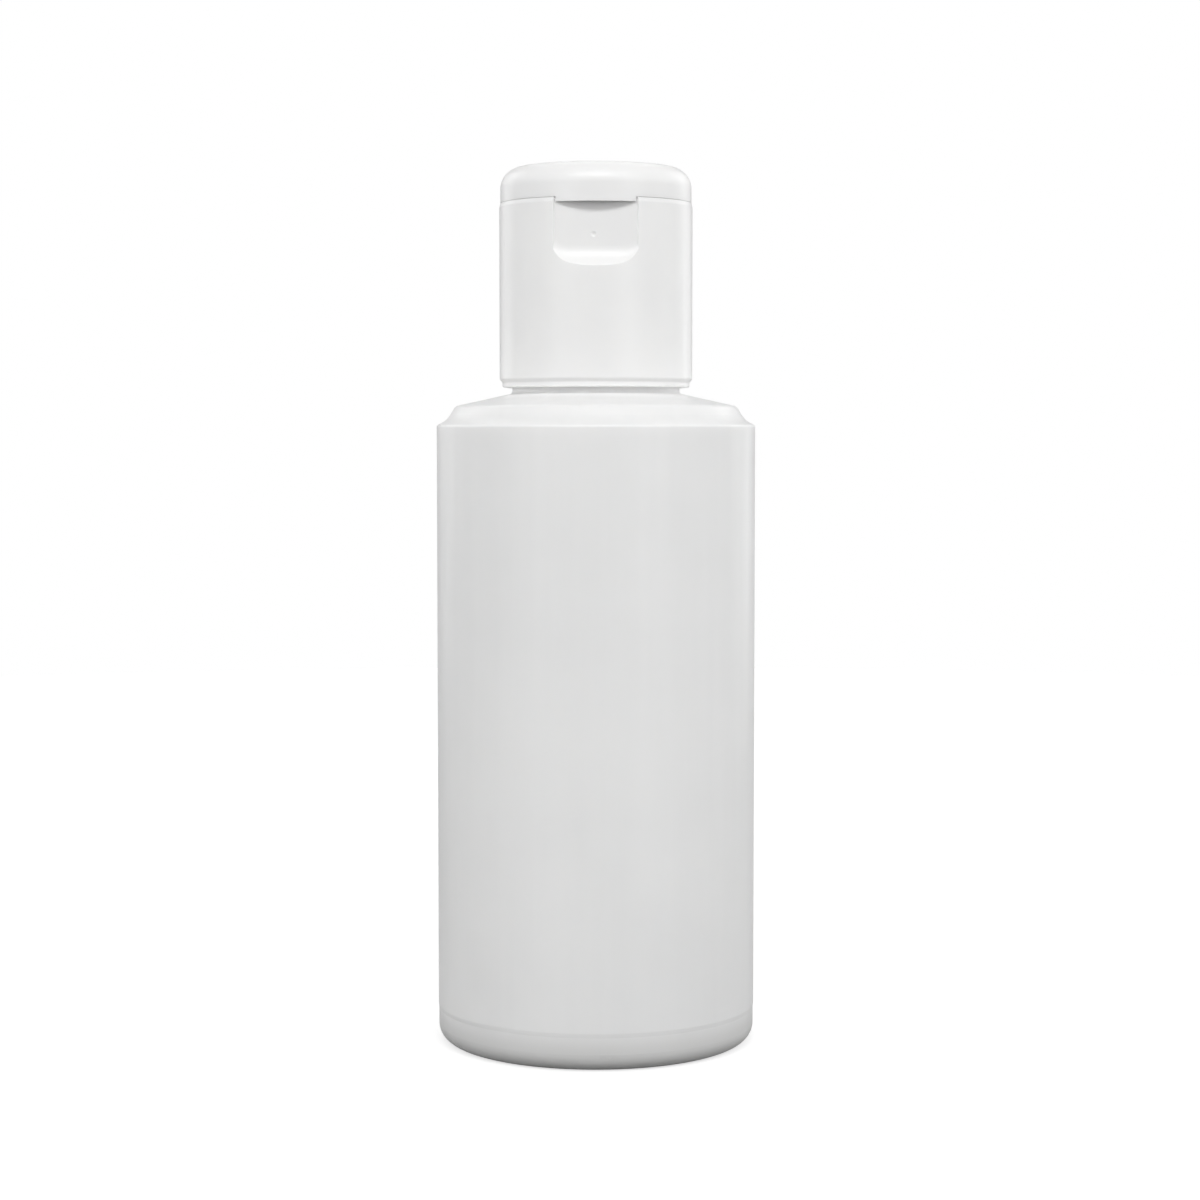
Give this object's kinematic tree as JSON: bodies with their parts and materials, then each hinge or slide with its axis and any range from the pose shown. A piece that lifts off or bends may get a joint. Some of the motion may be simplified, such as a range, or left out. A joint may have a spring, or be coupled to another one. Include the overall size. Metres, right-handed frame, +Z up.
{
  "type": "shampoo bottle",
  "caption": "Slim round squeeze bottle with a stepped shoulder and a screw-on flip-top cap with a thumb recess.",
  "frame": {"origin": "centre of the standing ring, on the axis of the bottle, at the surface it stands on", "axes": "+Z up along the axis of the bottle and neck, -Y towards the thumb recess of the cap, +Y towards the lid's hinge"},
  "size_m": [0.045, 0.045, 0.1241],
  "materials": {
    "bottle_wall": "satin blow-moulded polyethylene, milky white",
    "washer_foam": "closed-cell polyethylene foam",
    "cap_shell": "smooth injection-moulded polypropylene, white",
    "cap_film": "thin moulded polypropylene, white"
  },
  "bodies": {
    "bottle": {"bottle": "bottle_wall"},
    "gasket": {"seal_gasket": "washer_foam"},
    "cap": {"cap_base": "cap_shell", "living_hinge": "cap_film", "tension_band_left": "cap_film", "tension_band_right": "cap_film"},
    "lid": {"flip_lid": "cap_shell"}
  },
  "joints": [
    {"name": "cap_rise", "type": "slide", "parent": "bottle", "child": "gasket", "axis": [0, 0, 1], "range_m": [0, 0.01746]},
    {"name": "cap_turn", "type": "hinge", "parent": "gasket", "child": "cap", "pos_m": [0, 0, 0.1], "axis": [0, 0, 1], "range_deg": [0, 1980]},
    {"name": "lid_hinge", "type": "hinge", "parent": "cap", "child": "lid", "pos_m": [0, 0.0132, 0.11863], "axis": [-1, 0, 0], "range_deg": [0, 180], "deforming": ["living_hinge", "tension_band_left", "tension_band_right"]}
  ],
  "couplings": [
    {"joint": "cap_rise", "follows": "cap_turn", "m_per_rad": 0.00050532}
  ]
}
